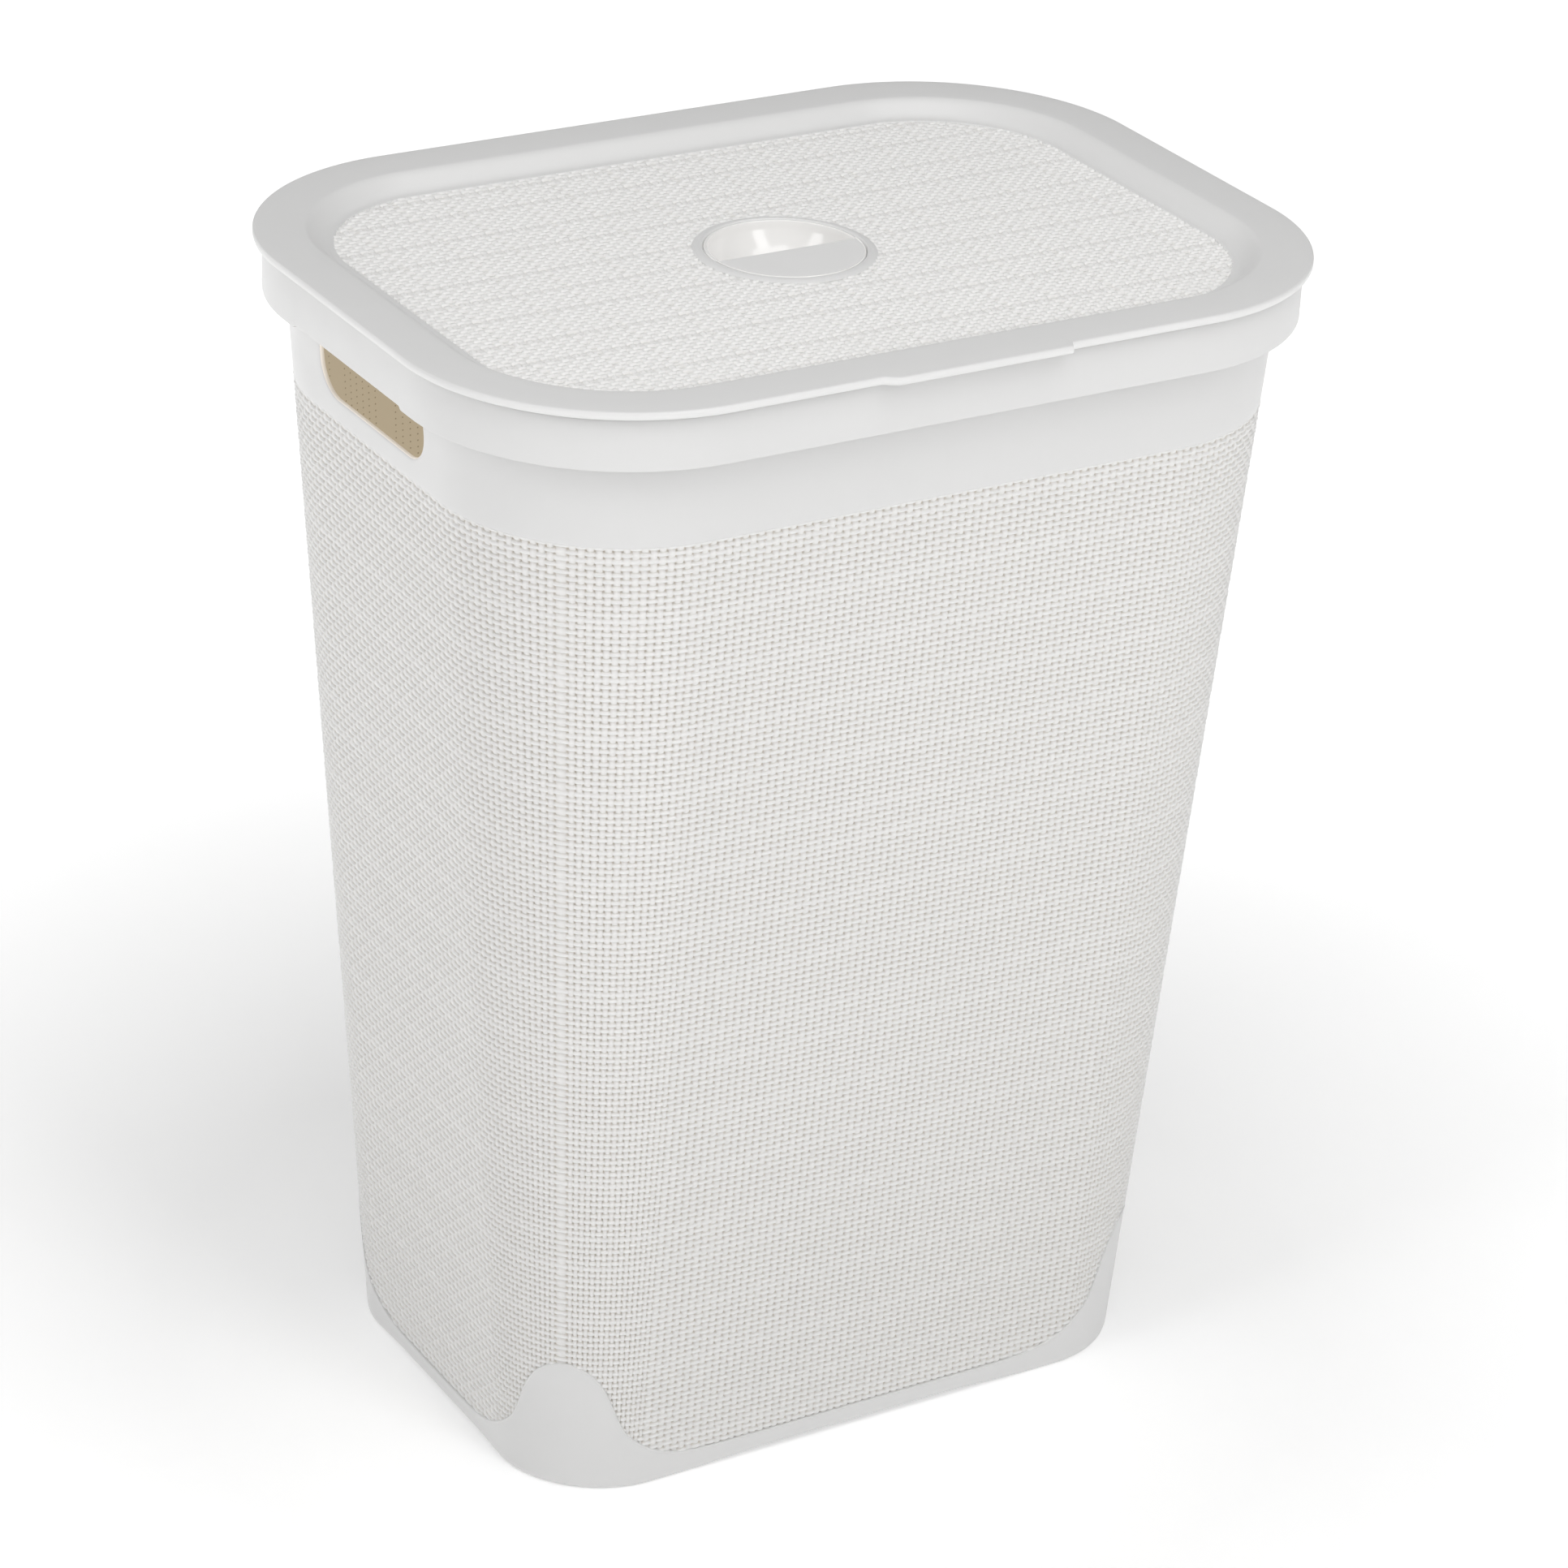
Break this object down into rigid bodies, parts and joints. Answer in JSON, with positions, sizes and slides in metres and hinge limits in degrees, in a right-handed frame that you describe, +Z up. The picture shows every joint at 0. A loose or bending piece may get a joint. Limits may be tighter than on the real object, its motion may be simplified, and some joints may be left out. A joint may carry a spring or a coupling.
{
  "type": "laundry hamper with lid",
  "caption": "Tapered rounded-rectangular laundry hamper with woven-look walls, a rim collar with handle holes below it, and a hinged lid with a round finger grip.",
  "frame": {"origin": "middle of the footprint, on the floor", "axes": "+Z up, X along the long sides, -Y is the front with the thumb tab, +Y the hinge side"},
  "size_m": [0.471, 0.352, 0.598],
  "materials": {
    "tub": "matte moulded plastic with an embossed weave and smooth bands at the top and the bottom",
    "collar": "smooth satin-matte moulded plastic",
    "lid": "smooth satin-matte band round an embossed woven panel",
    "grip_gloss": "glossy moulded plastic",
    "grip_plate": "smooth satin-matte moulded plastic",
    "pin": "plain moulded plastic"
  },
  "bodies": {
    "hamper": {"tub": "tub", "rim_collar": "collar", "hinge_pin_left": "pin", "hinge_pin_right": "pin"},
    "lid_assembly": {"lid": "lid", "grip_cup": "grip_gloss", "grip_plate": "grip_plate"}
  },
  "joints": [
    {"name": "lid_hinge", "type": "hinge", "parent": "hamper", "child": "lid_assembly", "pos_m": [0, 0.17, 0.5895], "axis": [-1, 0, 0], "range_deg": [0, 105]}
  ]
}
